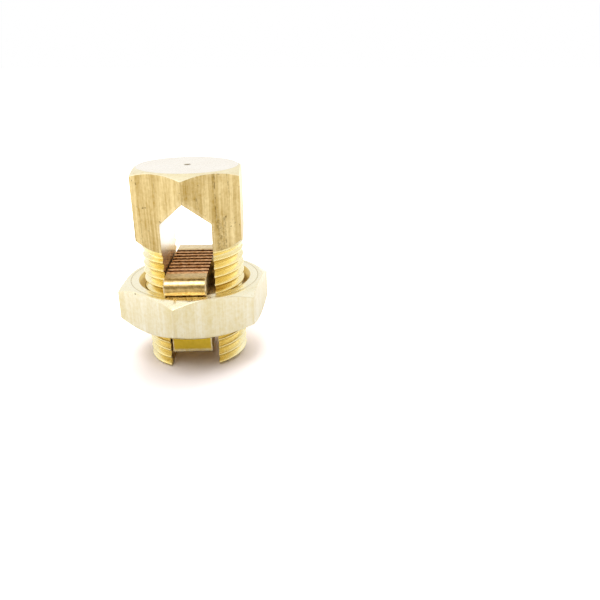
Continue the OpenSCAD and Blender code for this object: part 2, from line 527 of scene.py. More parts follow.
    def wrap(self, band: Band) -> tuple[np.ndarray, np.ndarray]:
        """Carries a band round the axis, from the front of the slot to its back.

        Args:
            band: the stations.

        Returns:
            Points shaped (stations, columns, 3), and whether each station is above the slot.
        """
        shares = band.shares[:, None]
        radius, height = band.shape(np.zeros((len(shares), 1)), shares)
        above = height[:, 0] > self.peak_z + 1e-6
        reach = np.minimum(self.slot_round / np.maximum(radius[:, 0], 0.5), 0.2)
        edges = [self.edge_angle(band, side, above) for side in (-1, 1)]
        nears = [edges[0] + reach, edges[1] - reach]
        angles = self.columns(*nears)
        radius, height = band.shape(angles, shares)
        front = self.slot_corner(band, edges[0], nears[0], -1, above)
        back = self.slot_corner(band, edges[1], nears[1], 1, above)
        body = about_axis(radius, angles, height)
        return np.concatenate([front[:, :-1], body, back[:, -2::-1]], axis=1), above

    def painted_light(self, zone: Zone, points: np.ndarray, turn: float) -> np.ndarray:
        """Painted light and shade, 0 to 1: on the head each flat has its own painted reflection.

        On the thread it is 0 beside the slot and 1 on the far sides, in a straight line over |cos(angle)|:
        painted shade and reflection beside the slot.
        """
        around = np.arctan2(points[..., 1], points[..., 0]) + turn
        if zone is Zone.THREAD:
            return np.clip((np.abs(np.cos(around)) - 0.45) / 0.5, 0, 1)
        return self.hexagon.tone(around)

    def sunk(self, zone: Zone, points: np.ndarray) -> np.ndarray:
        """How deep points lie in the thread or in the crown's dimple, as a share of its depth."""
        if zone is Zone.THREAD:
            share = (self.thread_r - np.hypot(points[..., 0], points[..., 1])) / self.thread.depth
        elif zone is Zone.CROWN:
            share = (self.height - points[..., 2]) / self.pip_depth
        else:
            share = np.zeros(points.shape[:2])
        return np.clip(share, 0, 1)

    def add_half(self, shell: Shell, turn: float) -> None:
        """Adds one half of the bolt: its outside, its wall of the slot and the end of its leg."""
        outside, zones, walled, edges, painted_tones, depths = [], [], [], [], [], []
        for band in self.head_bands(turn) + self.leg_bands(turn):
            points, above = self.wrap(band)
            outside.append(points)
            zones += [band.zone] * len(points)
            walled.append(~above)
            edges.append(np.full(len(points), band.edge))
            # Painted light and shade: each flat of the head, and the thread darker beside the slot.
            painted_tones.append(self.painted_light(band.zone, points, turn))
            # Depth, which the thread's roots and the crown's dimple turn into painted shade.
            depths.append(self.sunk(band.zone, points))
        grid = np.concatenate(outside) * np.array([math.cos(turn), math.cos(turn), 1.0])
        has_wall = np.concatenate(walled)
        near_edge = np.tile(np.concatenate(edges)[:, None], (1, grid.shape[1]))
        near_edge[np.ix_(has_wall, [*range(6), *range(-6, 0)])] = 1.0
        depth, tone = np.concatenate(depths), np.concatenate(painted_tones)
        numbers = shell.add_grid(grid, zones[1:], edge=near_edge, depth=depth, tone=tone)
        start = int(np.argmax(has_wall))
        wall_numbers = self.add_wall(shell, grid[start:, 0], grid[start:, -1])
        shell.add_cap(np.concatenate([numbers[-1], wall_numbers[-1, -2:0:-1]]), Zone.MILLED)

    def add_wall(self, shell: Shell, front: np.ndarray, back: np.ndarray) -> np.ndarray:
        """Adds a wall of the slot and its half of the roof, painted from shade below to sheen at the roof.

        Args:
            shell: where it is added.
            front: the points of its front edge.
            back: the points of its back edge.

        Returns:
            The vertex numbers, shaped (stations, columns).
        """
        shares = np.linspace(0, 1, 9)[None, :, None]
        wall = front[:, None] * (1 - shares) + back[:, None] * shares
        edge = np.zeros(wall.shape[:2])
        edge[:, [0, -1]] = 1.0
        # Painted shade low on the wall, painted sheen near the roof.
        painted_sheen = np.clip((wall[..., 2] - self.leg_h + self.painted_sheen_h) / self.painted_sheen_h, 0, 1)
        return shell.add_grid(wall, [Zone.MILLED] * (len(wall) - 1), edge=edge, tone=painted_sheen)

    def slot_corner(
        self, band: Band, edge: np.ndarray, near: np.ndarray, side: int, above: np.ndarray
    ) -> np.ndarray:
        """The columns that round the edge between the wall of the slot and the outside.

        Args:
            band: the stations.
            edge: the angle at which each meets the wall.
            near: the angle at which each leaves the rounding.
            side: -1 at the front of the slot, 1 at its back.
            above: whether each station is above the slot, where there is no wall to round into.

        Returns:
            Points shaped (stations, columns, 3), from the wall outwards.
        """
        shares = band.shares[:, None]
        run = spread(edge, near, EVEN_SHARES)
        radius, height = band.shape(run, shares)
        plain = about_axis(radius, run, height)
        corner = plain[:, :1]
        inward = corner - np.array([0, side * self.slot_round, 0])
        rounded = bend(inward, corner, plain[:, -1:], EVEN_SHARES[None, :, None])
        return np.where(above[:, None, None], plain, rounded)

    def build(self) -> bpy.types.Object:
        """Makes the bolt, riding on its body in place of the CAD node."""
        shell = Shell(self.zones)
        self.add_half(shell, 0.0)
        self.add_half(shell, math.pi)
        piece = shell.weld("bolt")
        keep_flats_flat(piece)
        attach(piece, "bolt")
        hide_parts("split_bolt")
        return piece


@dataclass
class ClampNut:
    """The nut: a hexagon with both faces chamfered, countersunk mouths and an internal thread."""

    low_z: float
    high_z: float
    turn: float = math.radians(-9.5)
    across_flats: float = 25.85
    top_r: float = 12.98
    bottom_r: float = 12.15
    mouth_r: float = 10.74
    thread_r: float = 9.6
    edge_round: float = 0.08
    corner_round: float = 0.2
    chamfer_slope: float = math.tan(CHAMFER_ANGLE)
    thread_depth: float = 0.88
    thread_slack: float = 0.035
    ring_r: float = 12.2
    ring_w: float = 0.14
    ring_depth: float = 0.05
    outer_thread: Helix = Helix()

    @property
    def zones(self) -> list[Zone]:
        """The surface kinds, in the order of the material slots."""
        return [Zone.NUT_SIDE, Zone.NUT_FACE, Zone.BORE]

    @property
    def hexagon(self) -> Hexagon:
        """Cross-section of the nut."""
        # Painted reflection and shade: each flat lighter or darker for how it faces the light, one nearly
        # white.
        painted_tones = ((0.5, 0.7), (0.6, 0.4), (0.75, 0.6), (0.4, 0.45), (1.0, 1.0), (0.5, 0.4))
        return Hexagon(self.across_flats, self.corner_round, QUARTER + self.turn, painted_tones)

    @property
    def thread(self) -> Helix:
        """The nut's own ridges, which lie half a pitch from the bolt's and clear them by the slack."""
        bolt = self.outer_thread
        ridge = bolt.pitch - bolt.crest_w - 2 * (bolt.flank_w + self.thread_slack)
        gained = 2 * (bolt.depth - self.thread_depth) * math.tan(FLANK_ANGLE)
        start = bolt.start + bolt.pitch / 2
        return Helix(bolt.pitch, start, self.thread_depth, ridge + gained, bolt.ease)

    def bore_radius(self, angle: np.ndarray, height: np.ndarray) -> np.ndarray:
        """Radius of the hole: the thread, or the 45 degree countersink where that is wider."""
        thread = self.thread
        threaded = self.thread_r - thread.depth + thread.sink(angle, height)
        top_sink = self.mouth_r - (self.high_z - height)
        bottom_sink = self.mouth_r - (height - self.low_z)
        return np.maximum(threaded, np.maximum(top_sink, bottom_sink))

    def top_z(self, radius: np.ndarray) -> np.ndarray:
        """Height of the upper face: flat, then falling along the chamfer."""
        return self.high_z - np.maximum(radius - self.top_r, 0) * self.chamfer_slope

    def bottom_z(self, radius: np.ndarray) -> np.ndarray:
        """Height of the lower face: flat, then rising along the chamfer."""
        return self.low_z + np.maximum(radius - self.bottom_r, 0) * self.chamfer_slope

    def in_ring(self, radius: np.ndarray) -> np.ndarray:
        """1 at the middle of the fine ring cut into the upper face, falling to 0 at its two edges."""
        return np.clip(1 - np.abs(radius - self.ring_r) / self.ring_w, 0, 1)

    def bands(self) -> list[Band]:
        """The nut's section, once round: flats, lower face, hole and upper face."""
        hexagon, d = self.hexagon, self.edge_round
        ring_edge = self.ring_r + self.ring_w

        def flats(angle: np.ndarray, share: np.ndarray) -> Surface:
            """Flats between the two curved edges."""
            radius = hexagon.radius(angle)
            high, low = self.top_z(radius) - d, self.bottom_z(radius) + d
            return radius, high + share * (low - high)

        def bottom_edge(angle: np.ndarray, share: np.ndarray) -> Surface:
            """Rounded edge between flat and lower face."""
            radius = hexagon.radius(angle)
            level, inner = self.bottom_z(radius), radius - d
            return bend(radius, radius, inner, share), bend(level + d, level, self.bottom_z(inner), share)

        def bottom_face(angle: np.ndarray, share: np.ndarray) -> Surface:
            """Lower face; share runs from the flats in to the chamfer's foot at 1 and the mouth at 2."""
            inner = hexagon.radius(angle) - d
            foot = np.minimum(inner, self.bottom_r)
            slope, flat = inner + share * (foot - inner), foot + (share - 1) * (self.mouth_r - foot)
            radius = np.where(share < 1, slope, flat)
            return radius, self.bottom_z(radius)

        def hole(angle: np.ndarray, share: np.ndarray) -> Surface:
            """Hole; share is the station's height on the side that faces +X."""
            height = np.clip(share + self.thread.climb(angle), self.low_z, self.high_z)
            return self.bore_radius(angle, height), height

        def top_face(angle: np.ndarray, share: np.ndarray) -> Surface:
            """Upper face; share runs from the mouth to a ring at 1, the chamfer at 2 and the flats at 3."""
            outer = hexagon.radius(angle) - d
            foot = np.minimum(outer, self.top_r)
            inside = self.mouth_r + share * (ring_edge - self.mouth_r)
            outside = ring_edge + (share - 1) * (foot - ring_edge)
            slope = foot + (share - 2) * (outer - foot)
            radius = np.where(share < 1, inside, np.where(share < 2, outside, slope))
            return radius, self.top_z(radius) - self.ring_depth * self.in_ring(radius)

        def top_edge(angle: np.ndarray, share: np.ndarray) -> Surface:
            """Rounded edge between upper face and flat."""
            radius = hexagon.radius(angle)
            level, inner = self.top_z(radius), radius - d
            return bend(inner, radius, radius, share), bend(self.top_z(inner), level, level - d, share)

        stations = self.thread.levels(self.low_z - self.thread.pitch, self.high_z)[::-1]
        ring = 1 - np.array([2, 1.5, 1, 0.5, 0]) * self.ring_w / (ring_edge - self.mouth_r)
        top_shares = np.concatenate([[0, 0.1, 0.45], ring, [1.5, 1.9, 2, 2.5, 3]])
        return [
            Band(np.array([0, 0.05, 0.5, 0.95, 1]), flats, Zone.NUT_SIDE),
            Band(EVEN_SHARES[1:], bottom_edge, Zone.NUT_SIDE, 1.0),
            Band(np.array([0.5, 1, 1.1, 1.5, 1.9, 2]), bottom_face, Zone.NUT_FACE),
            Band(stations, hole, Zone.BORE),
            Band(top_shares, top_face, Zone.NUT_FACE),
            Band(EVEN_SHARES[1:], top_edge, Zone.NUT_FACE, 1.0),
        ]

    def on_corner(self, angle: np.ndarray) -> np.ndarray:
        """Whether an angle lies on the rounding of one of the six corners."""
        return np.abs(self.hexagon.from_corner(angle)) < self.hexagon.corner_half_angle * 1.01

    def columns(self) -> np.ndarray:
        """Angles once round, close together at the six corners."""
        dense = CORNER_STEPS * self.hexagon.corner_half_angle
        middle = np.linspace(0, SECTOR, 24)[2:-2]
        sector = np.concatenate([dense, middle])
        turns = self.hexagon.turn + np.arange(6) * math.pi / 3
        angles = (turns[:, None] + sector[None, :]).reshape(-1)
        return np.append(angles, angles[0] + TURN)

    def build(self) -> bpy.types.Object:
        """Makes the nut, riding on its body in place of the CAD node."""
        shell = Shell(self.zones)
        columns = self.columns()
        grids, zones, edges = [], [], []
        for band in self.bands():
            angles = np.broadcast_to(columns, (len(band.shares), len(columns)))
            radius, height = band.shape(angles, band.shares[:, None])
            grids.append(about_axis(radius, angles, height))
            zones += [band.zone] * len(band.shares)
            edges += [band.edge] * len(band.shares)
        grid = np.concatenate(grids)
        in_hole = np.array([zone is Zone.BORE for zone in zones])[:, None]
        # Depth in the nut's thread, which takes painted shade at the roots.
        sunk = (np.hypot(grid[..., 0], grid[..., 1]) - self.thread_r + self.thread.depth) / self.thread.depth
        depth = np.where(in_hole & (sunk < 1.02), np.clip(sunk, 0, 1), 0)
        # The fine ring on the upper face takes the depth mark, for a painted shade line.
        on_top = grid[..., 2] > self.high_z - 2 * self.ring_depth
        depth = np.where(on_top & ~in_hole, self.in_ring(np.hypot(grid[..., 0], grid[..., 1])), depth)
        # Painted reflection and shade of each flat.
        tone = np.broadcast_to(self.hexagon.tone(columns), depth.shape)
        is_side = np.array([zone is Zone.NUT_SIDE for zone in zones])[:, None]
        # The flats' corners and the rounded edges take the edge colour, a darker line on the nut.
        edge = np.maximum(np.array(edges)[:, None], is_side & self.on_corner(columns)[None, :])
        shell.add_grid(grid, zones[1:], edge=edge, depth=depth, tone=tone)
        piece = shell.weld("nut")
        keep_flats_flat(piece)
        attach(piece, "nut")
        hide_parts("clamp_nut")
        return piece


@dataclass
class PressureBar:
    """The pressure bar: rounded ends, a serrated top and a tail that hangs between the legs."""

    low: Vector
    high: Vector
    bar_h: float = 3.15
    nose_r: float = 1.8
    tail_l: float = 14.6
    groove_count: int = 8
    groove_pitch: float = 1.75
    groove_depth: float = 0.8
    land_round: float = 0.1
    corner_round: float = 0.2
    side_round: float = 0.28
    tooth_side_round: float = 0.1
    chew: float = 0.05
    # The noses' painted highlight band: the slope it is centred on, and how far it fades.
    highlight_slope: float = math.radians(46)
    highlight_fade: float = math.radians(16)
    # Teeth in front of this take painted glints.
    glint_teeth_y: float = -5.0

    @property
    def zones(self) -> list[Zone]:
        """The surface kinds, in the order of the material slots."""
        return [Zone.BAR_NOSE, Zone.BAR_TEETH, Zone.BAR_TAIL]

    @property
    def middle_x(self) -> float:
        """Sideways place of the bar's middle plane."""
        return (self.low.x + self.high.x) / 2

    @property
    def seat(self) -> float:
        """Height of the bar's lower face, which rests on the nut."""
        return self.high.z - self.bar_h

    @property
    def teeth_y(self) -> float:
        """How far the teeth reach from the middle."""
        return self.groove_count * self.groove_pitch / 2

    def key_points(self) -> tuple[np.ndarray, np.ndarray]:
        """Corners of the side outline, in order, as (y, z), and the size of the rounding of each."""
        top, seat = self.high.z, self.seat
        nose_y, nose_z = self.high.y - self.nose_r, top - self.nose_r
        low_angle = math.asin((seat - nose_z) / self.nose_r)
        arc = np.linspace(low_angle, QUARTER, 15)
        nose = np.stack([nose_y + self.nose_r * np.cos(arc), nose_z + self.nose_r * np.sin(arc)], axis=1)
        groove_w = self.groove_depth * math.tan(FLANK_ANGLE)
        groove = np.array([[groove_w, 0], [0, -self.groove_depth], [-groove_w, 0]])
        middles = (np.arange(self.groove_count)[::-1] - (self.groove_count - 1) / 2) * self.groove_pitch
        teeth = groove[None, :, :] + np.stack([middles, np.full(len(middles), top)], axis=1)[:, None, :]
        tail = self.tail_l / 2
        right = np.array([[-tail, self.low.z], [tail, self.low.z], [tail, seat]])
        left = nose[::-1] * np.array([-1, 1])
        points = np.concatenate([right, nose, teeth.reshape(-1, 2), left, [[-tail, seat]]])
        ends = np.full(len(nose), 0.0)
        ends[0] = 0.12
        rounds = np.concatenate([
            [self.corner_round, self.corner_round, self.corner_round],
            ends,
            np.full(3 * self.groove_count, self.land_round),
            ends[::-1],
            [self.corner_round],
        ])
        return points, rounds

    def outline(self) -> np.ndarray:
        """The side outline with each corner rounded by a Bezier curve, as (y, z)."""
        points, rounds = self.key_points()
        back, ahead = np.roll(points, 1, axis=0) - points, np.roll(points, -1, axis=0) - points
        back_l, ahead_l = np.linalg.norm(back, axis=1), np.linalg.norm(ahead, axis=1)
        size = np.minimum(rounds, 0.45 * np.minimum(back_l, ahead_l))[:, None]
        first, last = points + back / back_l[:, None] * size, points + ahead / ahead_l[:, None] * size
        share = EVEN_SHARES[None, :, None]
        curve = bend(first[:, None], points[:, None], last[:, None], share).reshape(-1, 2)
        step = np.linalg.norm(curve - np.roll(curve, 1, axis=0), axis=1)
        curve = curve[step > 1e-4]
        gap = np.roll(curve, -1, axis=0) - curve
        pieces = np.maximum(1, np.ceil(np.linalg.norm(gap, axis=1) / 1.2)).astype(int)
        index = np.repeat(np.arange(len(curve)), pieces)
        local = np.arange(len(index)) - np.repeat(np.cumsum(pieces) - pieces, pieces)
        return curve[index] + gap[index] * (local / pieces[index])[:, None]

    def side_rounding(self, outline: np.ndarray) -> np.ndarray:
        """How far the side edges are rounded at each point of the outline.

        Near the sharp corners of the tail and of the nose it is the teeth's rounding plus a third of the
        distance to the corner, up to the full rounding, so that the drawn-in outline never crosses itself.

        Args:
            outline: the points, as (y, z).

        Returns:
            The radius at each point, in millimetres.
        """
        nose_z = self.high.z - self.nose_r
        nose_end = self.high.y - self.nose_r + math.sqrt(self.nose_r**2 - (self.seat - nose_z) ** 2)
        corners = np.array([[self.tail_l / 2, self.low.z], [nose_end, self.seat]])
        folded = outline * (np.sign(outline[:, :1]) * [[1, 0]] + [[0, 1]])
        away = np.linalg.norm(folded[:, None] - corners[None], axis=2).min(axis=1)
        return np.minimum(self.side_round, self.tooth_side_round + away / 3)

    def wear_and_highlight(self, y: np.ndarray, z: np.ndarray) -> np.ndarray:
        """Where the outline takes painted highlights, 0 to 1, away from the bar's side edges.

        Full at the tail's lower corners, a painted highlight line, and on the land behind the teeth, a
        painted reflection. On the noses it is a painted highlight band, full about one slope and fading in a
        straight line to both sides.

        Args:
            y: places of the points along the slot.
            z: their heights.

        Returns:
            The painted highlight at each point.
        """
        near = self.corner_round * 1.01
        corner = (np.abs(z - self.low.z) < near) & (np.abs(y) > self.tail_l / 2 - near)
        slope = np.arctan2(z - self.high.z + self.nose_r, np.abs(y) - self.high.y + self.nose_r)
        on_nose = (np.abs(y) > self.high.y - self.nose_r) & (z > self.seat)
        strip = np.clip(1.35 - np.abs(slope - self.highlight_slope) / self.highlight_fade, 0, 1)
        painted_far_land = (y > self.teeth_y) & (z > self.high.z - 0.4)
        return np.maximum(corner, np.maximum(np.where(on_nose, strip, 0), painted_far_land))

    def tooth_share(self, z: np.ndarray) -> np.ndarray:
        """How high up a tooth a height is: 0 at the foot of the grooves, 1 at the top."""
        return np.clip((z - (self.high.z - self.groove_depth)) / self.groove_depth, 0, 1)

    def carry_across(self, outline: np.ndarray, in_teeth: np.ndarray) -> tuple[np.ndarray, np.ndarray]:
        """Carries the outline across the bar, from one side face to the other.

        Towards each side it draws in along its own normals by r (1 - cos a) while it moves out by
        r sin a, which rounds the side edges. The teeth are chewed down by random waves.

        Args:
            outline: the points, as (y, z).
            in_teeth: whether each lies in the teeth.

        Returns:
            Points shaped (outline, stations, 3), and for each station 1 if it rounds a side edge, else 0.
        """
        ahead = np.roll(outline, -1, axis=0) - np.roll(outline, 1, axis=0)
        ahead /= np.linalg.norm(ahead, axis=1)[:, None]
        inward = np.stack([-ahead[:, 1], ahead[:, 0]], axis=1)
        size = np.where(in_teeth, self.tooth_side_round, self.side_rounding(outline))
        quarter = np.linspace(0, QUARTER, 6)
        half_w = (self.high.x - self.low.x) / 2
        across = np.linspace(-1, 1, 41) * (half_w - self.side_round - 0.02)
        turn = np.concatenate([-quarter[::-1], np.zeros(len(across)), quarter])
        centre = np.concatenate([np.full(6, -1.0), across / half_w, np.full(6, 1.0)])
        is_side = np.concatenate([np.ones(6), np.zeros(len(across)), np.ones(6)])
        x = np.where(
            is_side[:, None] > 0,
            centre[:, None] * (half_w - size[None, :]) + size[None, :] * np.sin(turn)[:, None],
            centre[:, None] * half_w + 0 * size[None, :],
        )
        draw_in = size[None, :] * (1 - np.cos(turn))[:, None]
        y = outline[None, :, 0] + inward[None, :, 0] * draw_in
        z = outline[None, :, 1] + inward[None, :, 1] * draw_in
        rough = ripple(x, y * 1.3, 0.9, 7) + 0.6 * ripple(x, y * 1.6, 0.35, 11)
        height = self.tooth_share(outline[:, 1])
        z = z - in_teeth[None, :] * height[None, :] * self.chew * (0.75 + 0.5 * rough)
        grid = np.stack([x + self.middle_x, y, z], axis=-1)
        return np.concatenate([grid, grid[:, :1]], axis=1).transpose(1, 0, 2), is_side

    def build(self) -> bpy.types.Object:
        """Makes the bar, riding on its body in place of the CAD node."""
        outline = self.outline()
        y, z = outline[:, 0], outline[:, 1]
        in_teeth = (np.abs(y) < self.teeth_y) & (z > self.high.z - self.groove_depth - 0.05)
        grid, is_side = self.carry_across(outline, in_teeth)
        shell = Shell(self.zones)
        zones = [
            Zone.BAR_TEETH if tooth else (Zone.BAR_TAIL if level < self.seat - 0.01 else Zone.BAR_NOSE)
            for tooth, level in zip(in_teeth, z)
        ]
        # Painted highlights on the noses, the tail's lower corners and the far land; the side edges take the
        # edge colour too.
        worn_and_lit = self.wear_and_highlight(y, z)
        edge = np.maximum(is_side[None, :], np.append(worn_and_lit, worn_and_lit[0])[:, None])
        # Depth in the teeth, which takes painted shade in the grooves.
        sunk = np.where(in_teeth, 1 - self.tooth_share(z), 0)
        depth = np.append(sunk, sunk[0])[:, None]
        # Painted glints on the front teeth, and a painted reflection on the far nose and land.
        bright = np.where(in_teeth, y < self.glint_teeth_y, y > self.teeth_y)
        tone = np.append(bright, bright[0])[:, None] * 0.6 + 0.4
        numbers = shell.add_grid(grid, zones, edge=edge, depth=depth, tone=tone)
        shell.add_cap(numbers[:-1, 0], Zone.BAR_NOSE)
        shell.add_cap(numbers[:-1, -1], Zone.BAR_NOSE)
        piece = shell.weld("pressure_saddle")
        keep_flats_flat(piece)
        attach(piece, "bar")
        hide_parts("pressure_bar")
        return piece


# ---------------------------------------------------------------------------------------------------
# Finishes
# ---------------------------------------------------------------------------------------------------


class Graph:
    """Short calls for adding and wiring the nodes of one tree."""

    def __init__(self, tree: bpy.types.NodeTree) -> None:
        """Empties the tree, to be filled from scratch."""
        self.tree = tree
        tree.nodes.clear()

    def node(self, kind: str, inputs: Optional[dict] = None, **settings: object) -> bpy.types.Node:
        """Adds a node.

        Args:
            kind: the node's type.
            inputs: a value or a socket for each input, by name or number.
            settings: the node's own properties.

        Returns:
            The new node.
        """
        made = self.tree.nodes.new(kind)
        for name, value in settings.items():
            setattr(made, name, value)
        for key, value in (inputs or {}).items():
            if isinstance(value, bpy.types.NodeSocket):
                self.tree.links.new(value, made.inputs[key])
            else:
                made.inputs[key].default_value = value
        return made

    def math(self, operation: str, first: object, second: object = 0.0) -> bpy.types.NodeSocket:
        """One arithmetic step on two numbers or sockets."""
        return self.node("ShaderNodeMath", {0: first, 1: second}, operation=operation).outputs[0]

    def product(self, first: object, *factors: object) -> bpy.types.NodeSocket:
        """The product of two or more numbers or sockets."""
        for factor in factors:
            first = self.math("MULTIPLY", first, factor)
        return first

    def ramp(
        self, value: object, low: object, high: object, out_low: float = 0.0, out_high: float = 1.0
    ) -> bpy.types.NodeSocket:
        """Maps low..high to out_low..out_high and keeps it there."""
        inputs = {"Value": value, "From Min": low, "From Max": high, "To Min": out_low, "To Max": out_high}
        return self.node("ShaderNodeMapRange", inputs, clamp=True).outputs["Result"]

    def mix(self, share: object, first: object, second: object) -> bpy.types.NodeSocket:
        """Mixes two colours."""
        made = self.node("ShaderNodeMix", data_type="RGBA", blend_type="MIX")
        for socket, value in ((made.inputs[0], share), (made.inputs[6], first), (made.inputs[7], second)):
            if isinstance(value, bpy.types.NodeSocket):
                self.tree.links.new(value, socket)
            else:
                socket.default_value = value
        return made.outputs[2]

    def noise(
        self, vector: object, scale: float, detail: float = 3.0, rough: float = 0.55
    ) -> bpy.types.NodeSocket:
        """Fractal noise, about 0..1."""
        inputs = {"Vector": vector, "Scale": scale, "Detail": detail, "Roughness": rough}
        return self.node("ShaderNodeTexNoise", inputs).outputs[0]


def new_group(
    name: str, inputs: dict[str, object], outputs: Sequence[str]
) -> tuple[bpy.types.NodeTree, Graph, dict[str, bpy.types.NodeSocket]]:
    """Starts a node group with named sockets.

    Args:
        name: the group's name.
        inputs: a default for each input: a number, or None for a vector.
        outputs: the names of its value outputs.

    Returns:
        The group, a graph on it, and its input sockets by name.
    """
    tree = bpy.data.node_groups.new(name, "ShaderNodeTree")
    for label, default in inputs.items():
        kind = "NodeSocketVector" if default is None else "NodeSocketFloat"
        socket = tree.interface.new_socket(name=label, in_out="INPUT", socket_type=kind)
        if default is not None:
            socket.default_value = default
    for label in outputs:
        tree.interface.new_socket(name=label, in_out="OUTPUT", socket_type="NodeSocketFloat")
    graph = Graph(tree)
    entry = graph.node("NodeGroupInput")
    return tree, graph, {label: entry.outputs[label] for label in inputs}


class Effects:
    """The surface effects that several finishes share, each a node group built once."""

    def __init__(self) -> None:
        """Builds the groups."""
        self.streaks = self.make_streaks()
        self.rings = self.make_rings()
        self.pits = self.make_pits()
        self.blotches = self.make_blotches()
        self.scar = self.make_scar()

    @staticmethod
    def make_streaks() -> bpy.types.NodeTree:
        """Draw marks along Z: noise stretched along Z, in a broad and a fine band, and thin scratches.

        A scratch is where a noise that hardly changes along Z passes through its middle value. A second
        noise breaks it up along its length.
        """
        tree, graph, given = new_group(
            "draw_marks", {"Vector": None, "Stretch": 0.04}, ["Broad", "Fine", "Scratches"]
        )
        squeeze = graph.node("ShaderNodeCombineXYZ", {"X": 1.0, "Y": 1.0, "Z": given["Stretch"]})
        inputs = {0: given["Vector"], 1: squeeze.outputs[0]}
        stretched = graph.node("ShaderNodeVectorMath", inputs, operation="MULTIPLY").outputs[0]
        broad = graph.ramp(graph.noise(stretched, 700.0, 3.0), 0.35, 0.65)
        fine = graph.ramp(graph.noise(stretched, 3600.0, 4.0, 0.65), 0.35, 0.65)
        centred = graph.math("ABSOLUTE", graph.math("SUBTRACT", graph.noise(stretched, 380.0, 1.0), 0.5))
        line = graph.ramp(centred, 0.004, 0.012, 1.0, 0.0)
        gaps = graph.ramp(graph.noise(given["Vector"], 1900.0, 4.0, 0.7), 0.46, 0.60)
        runs = graph.ramp(graph.noise(given["Vector"], 150.0, 1.0), 0.44, 0.54)
        outputs = {"Broad": broad, "Fine": fine, "Scratches": graph.product(line, gaps, runs)}
        graph.node("NodeGroupOutput", outputs)
        return tree

    @staticmethod
    def make_rings() -> bpy.types.NodeTree:
        """Turning marks: noise over the distance from the Z axis plus height, which wanders a little."""
        tree, graph, given = new_group("turning_marks", {"Vector": None, "Wander": 0.03}, ["Rings"])
        parts = graph.node("ShaderNodeSeparateXYZ", {0: given["Vector"]})
        flat = graph.node("ShaderNodeCombineXYZ", {"X": parts.outputs[0], "Y": parts.outputs[1]})
        radius = graph.node("ShaderNodeVectorMath", {0: flat.outputs[0]}, operation="LENGTH").outputs["Value"]
        reach = graph.math("ADD", radius, parts.outputs[2])
        side = graph.math("MULTIPLY", parts.outputs[0], given["Wander"])
        depth = graph.math("MULTIPLY", parts.outputs[1], given["Wander"])
        place = graph.node("ShaderNodeCombineXYZ", {"X": reach, "Y": side, "Z": depth}).outputs[0]
        rings = graph.ramp(graph.noise(place, 2600.0, 3.0, 0.7), 0.3, 0.7)
        graph.node("NodeGroupOutput", {"Rings": rings})
        return tree

    @staticmethod
    def make_pits() -> bpy.types.NodeTree:
        """Small ragged dark specks: the hearts of some random cells, bent by noise, in loose clusters."""
        tree, graph, given = new_group("specks", {"Vector": None, "Amount": 0.5}, ["Pits"])
        shift = graph.node("ShaderNodeTexNoise", {"Vector": given["Vector"], "Scale": 2600.0, "Detail": 3.0})
        inputs = {0: shift.outputs["Color"], "Scale": 0.0007}
        offset = graph.node("ShaderNodeVectorMath", inputs, operation="SCALE").outputs[0]
        bent = graph.node("ShaderNodeVectorMath", {0: given["Vector"], 1: offset}, operation="ADD").outputs[0]
        cells = graph.node("ShaderNodeTexVoronoi", {"Vector": bent, "Scale": 1250.0}, feature="F1")
        chance = graph.node("ShaderNodeSeparateXYZ", {0: cells.outputs["Color"]})
        reach = graph.ramp(chance.outputs[1], 0.0, 1.0, 0.10, 0.30)
        heart = graph.ramp(graph.math("SUBTRACT", cells.outputs["Distance"], reach), -0.08, 0.02, 1.0, 0.0)
        crowd = graph.ramp(graph.noise(given["Vector"], 230.0, 2.0), 0.35, 0.65)
        chosen = graph.math("LESS_THAN", chance.outputs[0], graph.product(crowd, given["Amount"], 0.5))
        graph.node("NodeGroupOutput", {"Pits": graph.product(heart, chosen)})
        return tree

    @staticmethod
    def make_blotches() -> bpy.types.NodeTree:
        """Slow changes of tone over a few millimetres, with finer mottling inside them."""
        tree, graph, given = new_group("blotches", {"Vector": None}, ["Slow", "Mottle"])
        slow = graph.ramp(graph.noise(given["Vector"], 160.0, 3.0), 0.3, 0.7)
        mottle = graph.ramp(graph.noise(given["Vector"], 1500.0, 4.0, 0.65), 0.3, 0.7)
        graph.node("NodeGroupOutput", {"Slow": slow, "Mottle": mottle})
        return tree

    @staticmethod
    def make_scar() -> bpy.types.NodeTree:
        """One long upright scratch on the front of the head.

        It is where X wanders about middle_x, above foot_z and in front of the axis, broken up by noise.
        """
        middle_x, sway_x, foot_z, full_z = 0.0054, 0.00012, 0.0285, 0.0295
        tree, graph, given = new_group("scar", {"Vector": None}, ["Scar"])
        parts = graph.node("ShaderNodeSeparateXYZ", {0: given["Vector"]})
        along = graph.node("ShaderNodeCombineXYZ", {"Z": parts.outputs[2]}).outputs[0]
        sway = graph.ramp(graph.noise(along, 300.0, 2.0), 0.3, 0.7, -sway_x, sway_x)
        offset = graph.math("SUBTRACT", graph.math("SUBTRACT", parts.outputs[0], middle_x), sway)
        away = graph.math("ABSOLUTE", offset)
        line = graph.ramp(away, 0.00003, 0.00014, 1.0, 0.0)
        gaps = graph.ramp(graph.noise(given["Vector"], 1400.0, 3.0, 0.7), 0.40, 0.55)
        above = graph.ramp(parts.outputs[2], foot_z, full_z)
        in_front = graph.ramp(parts.outputs[1], -0.001, 0.0, 1.0, 0.0)
        scar = graph.product(line, gaps, graph.product(above, in_front))
        graph.node("NodeGroupOutput", {"Scar": scar})
        return tree


